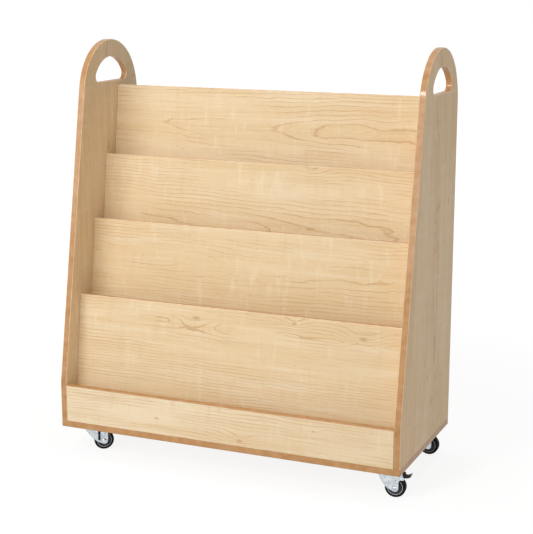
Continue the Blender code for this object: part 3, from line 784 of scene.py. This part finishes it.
def makePedal():
    # an arm between the legs with the shoe under it, and a thin pad with a raised tip and three grooves
    x0, z0 = castor["pedalPivot"][0], castor["pedalPivot"][2]
    arm = [(-0.0045, 0.0030), (-0.0045, -0.0020), (-0.0015, -0.0040), (0.0030, -0.0072), (0.0070, -0.0072),
           (0.0105, -0.0050), (0.0105, 0.0030)]
    pad = [(0.0078, -0.0004), (0.0078, -0.0050), (0.0160, -0.0054), (0.0236, -0.0024), (0.0258, 0.0012),
           (0.0256, 0.0036), (0.0234, 0.0016), (0.0196, -0.0002), (0.0150, -0.0016), (0.0115, -0.0008)]
    pedal = sideOutline("pedal", [(x0 + x, z0 + z) for x, z in arm], castor["pedalArmHalf"])
    tread = sideOutline("pad", [(x0 + x, z0 + z) for x, z in pad], castor["pedalPadHalf"])
    combine(pedal, "UNION", tread)
    bore = makeRod("bore", castor["pedalPinHole"], -castor["toolReach"], castor["toolReach"])
    moveBy(bore, Matrix.Translation(castor["pedalPivot"]) @ layDown)
    combine(pedal, "DIFFERENCE", bore)
    roundEdges(pedal, castor["pedalEdge"], 3, angle=28)
    for x, z in ((0.0150, -0.0016), (0.0175, -0.0008), (0.0200, 0.0000)):
        groove = makeRod("groove", castor["grooveRadius"], -castor["toolReach"], castor["toolReach"], 16)
        moveBy(groove, Matrix.Translation((x0 + x, 0, z0 + z)) @ layDown)
        combine(pedal, "DIFFERENCE", groove)
    smoothShade(pedal, 35)
    return pedal


def makePedalPin():
    # pin with riveted ends
    half = outerHalf
    ends = [(0, half), (0.0012, half - 0.0001), (0.0015, half - 0.0005)]
    pin = turn("pedal_pin", ends + [(radius, -height) for radius, height in reversed(ends)], 32)
    smoothShade(pin, 35)
    moveBy(pin, Matrix.Translation(castor["pedalPivot"]) @ layDown)
    return pin


def paintWheel(wheel):
    # the raised ring at the rim is paler than the dish
    paint(wheel, [darkNylon, paleNylon],
          lambda face: 1 if math.hypot(face.center.x - axleAt.x, face.center.z - axleAt.z) > castor["ringInner"]
          and abs(face.center.y) > castor["ringFace"] else 0)


# each model with its material and slot
models = {
    "plate": (makePlate(), zinc, "zinc_plate"), "screw": (makeScrew(), zinc, "zinc_plate"),
    "kingpin": (makeKingpin(), zinc, "zinc_plate"), "bearing": (makeBearing(), zinc, "zinc_plate"),
    "fork": (makeFork(False), zinc, "zinc_plate"), "brakedFork": (makeFork(True), zinc, "zinc_plate"),
    "axle": (makeAxle(), zinc, "zinc_plate"), "wheel": (makeWheel(), darkNylon, "grey_nylon"),
    "tyre": (makeTyre(), tyreRubber, "black_rubber"),
    "brake_pedal": (makePedal(), blackPolyamide, "black_plastic"),
    "brake_pin": (makePedalPin(), zinc, "zinc_plate"),
}
for model, material, slot in models.values():
    paint(model, [material])
paintWheel(models["wheel"][0])

for place in ("front_left", "front_right", "rear_left", "rear_right"):
    name = "castor_" + place
    swivelAt, spinAt = jointAt[name + "_swivel"], jointAt[name + "_spin"]
    trail = math.atan2(spinAt.y - swivelAt.y, spinAt.x - swivelAt.x)
    upright = Matrix.Translation((swivelAt.x, swivelAt.y, 0))
    turned = upright @ Matrix.Rotation(trail, 4, "Z")
    braked = name + "_brake_pedal" in bodyOf
    parts = [("plate", "plate", upright), ("kingpin", "kingpin", upright), ("bearing", "bearing", turned),
             ("fork", "brakedFork" if braked else "fork", turned), ("axle", "axle", turned),
             ("wheel", "wheel", turned), ("tyre", "tyre", turned)]
    parts += [(f"screw_{i + 1}", "screw", upright @ Matrix.Translation((x, y, 0)))
              for i, (x, y) in enumerate(screwSpots())]
    if braked:
        parts += [("brake_pedal", "brake_pedal", turned), ("brake_pin", "brake_pin", turned)]
    for suffix, kind, matrix in parts:
        model, material, slot = models[kind]
        piece = model.copy()
        piece.data = model.data.copy()
        bpy.context.collection.objects.link(piece)
        piece.name = f"{name}_{suffix}_made"
        moveBy(piece, matrix)
        standFor(piece, f"{name}_{suffix}")
for model, material, slot in models.values():
    bpy.data.objects.remove(model, do_unlink=True)
print("castors: made")

# fadeFrom and fadeTo are how far out the floor's shadow fades, glow its brightness in the middle
stage = {"floorSize": 24, "fadeFrom": 0.7, "fadeTo": 2.4, "glow": 0.88, "paper": 0.16, "floorTone": 0.8,
         "fill": 0.30}
clearSelection()
bpy.ops.mesh.primitive_plane_add(size=stage["floorSize"], location=(0, 0, 0))
floor = settle("floor")


def addSeenRays(tree):
    # 1 for what the camera, a reflection or glass shows, 0 for the light that falls on the shelf
    rays = addNode(tree, "ShaderNodeLightPath")
    direct = addNode(tree, "ShaderNodeMath", {"operation": "MAXIMUM"},
                     {0: rays.outputs["Is Camera Ray"], 1: rays.outputs["Is Glossy Ray"]})
    return addNode(tree, "ShaderNodeMath", {"operation": "MAXIMUM"},
                   {0: direct.outputs[0], 1: rays.outputs["Is Transmission Ray"]}).outputs[0]


def makeFloorFinish():
    # to the camera a white paper ground that keeps a soft shadow; to everything else a pale floor
    material = bpy.data.materials.new("white studio floor")
    material.use_nodes = True
    tree = material.node_tree
    tree.nodes.clear()
    seen = addSeenRays(tree)
    # the shadow fades out with the distance from the middle, so that the ground has no far edge
    place = addNode(tree, "ShaderNodeTexCoord").outputs["Object"]
    away = addNode(tree, "ShaderNodeVectorMath", {"operation": "LENGTH"}, {0: place}).outputs["Value"]
    strength = addNode(tree, "ShaderNodeMapRange", {"interpolation_type": "SMOOTHSTEP",
                       "From Min": stage["fadeFrom"], "From Max": stage["fadeTo"],
                       "To Min": stage["glow"], "To Max": 1.0}, {"Value": away})
    paper = addNode(tree, "ShaderNodeBsdfDiffuse", {"Color": [stage["paper"]] * 3 + [1]})
    glow = addNode(tree, "ShaderNodeEmission", {"Color": (1, 1, 1, 1)}, {"Strength": strength.outputs[0]})
    white = addNode(tree, "ShaderNodeAddShader", None, {0: paper.outputs[0], 1: glow.outputs[0]})
    plain = addNode(tree, "ShaderNodeBsdfDiffuse", {"Color": [stage["floorTone"]] * 3 + [1]})
    either = addNode(tree, "ShaderNodeMixShader", None,
                     {0: seen, 1: plain.outputs[0], 2: white.outputs[0]})
    addNode(tree, "ShaderNodeOutputMaterial", None, {"Surface": either.outputs[0]})
    return material


paint(floor, [makeFloorFinish()])

# where each lamp stands, where it points, its width, height and power in watts
lamps = {
    "key": ((-1.7, -3.9, 2.0), (0, 0, 0.45), 2.4, 2.0, 80),
    "overhead": ((0, 0.3, 4.0), (0, 0, 0), 3.0, 3.0, 44),
    "glare": ((-0.29, -2.14, 2.10), (0.42, -0.06, 0.9), 0.3, 0.3, 17),
    "side": ((3.2, -0.9, 0.7), (0.4, 0, 0.5), 0.25, 1.6, 6),
}


def makeLamp(name, place, target, width, height, power):
    data = bpy.data.lights.new(name, "AREA")
    data.shape = "RECTANGLE"
    data.size, data.size_y = width, height
    data.energy = power
    lamp = bpy.data.objects.new(name, data)
    bpy.context.collection.objects.link(lamp)
    lamp.location = place
    lamp.rotation_euler = (Vector(target) - Vector(place)).to_track_quat("-Z", "Y").to_euler()


for name, settings in lamps.items():
    makeLamp(name, *settings)


def makeWorld():
    # white to the camera and in reflections, a soft fill to everything else
    world = bpy.data.worlds.new("studio")
    world.use_nodes = True
    tree = world.node_tree
    tree.nodes.clear()
    seen = addSeenRays(tree)
    level = addNode(tree, "ShaderNodeMapRange", {"To Min": stage["fill"], "To Max": 1.0}, {"Value": seen})
    sky = addNode(tree, "ShaderNodeBackground", {"Color": (1, 1, 1, 1)}, {"Strength": level.outputs[0]})
    addNode(tree, "ShaderNodeOutputWorld", None, {"Surface": sky.outputs[0]})
    bpy.context.scene.world = world


makeWorld()
bpy.context.scene.view_settings.view_transform = "Standard"

# the photograph's viewpoint, recovered from the cabinet's corners
viewpoint = {"place": (1.2633, -2.8898, 1.1712), "yaw": 23.130, "down": 12.649, "roll": 0.031, "lens": 91.59}
cameraData = bpy.data.cameras.new("camera")
cameraData.lens = viewpoint["lens"]
cameraData.clip_end = 100
camera = bpy.data.objects.new("camera", cameraData)
bpy.context.collection.objects.link(camera)
camera.matrix_world = (Matrix.Translation(viewpoint["place"])
                       @ Matrix.Rotation(math.radians(viewpoint["yaw"]), 4, "Z")
                       @ Matrix.Rotation(math.radians(90 - viewpoint["down"]), 4, "X")
                       @ Matrix.Rotation(math.radians(viewpoint["roll"]), 4, "Z"))
bpy.context.scene.camera = camera
print("stage, light and camera: made")

bpy.context.view_layer.update()
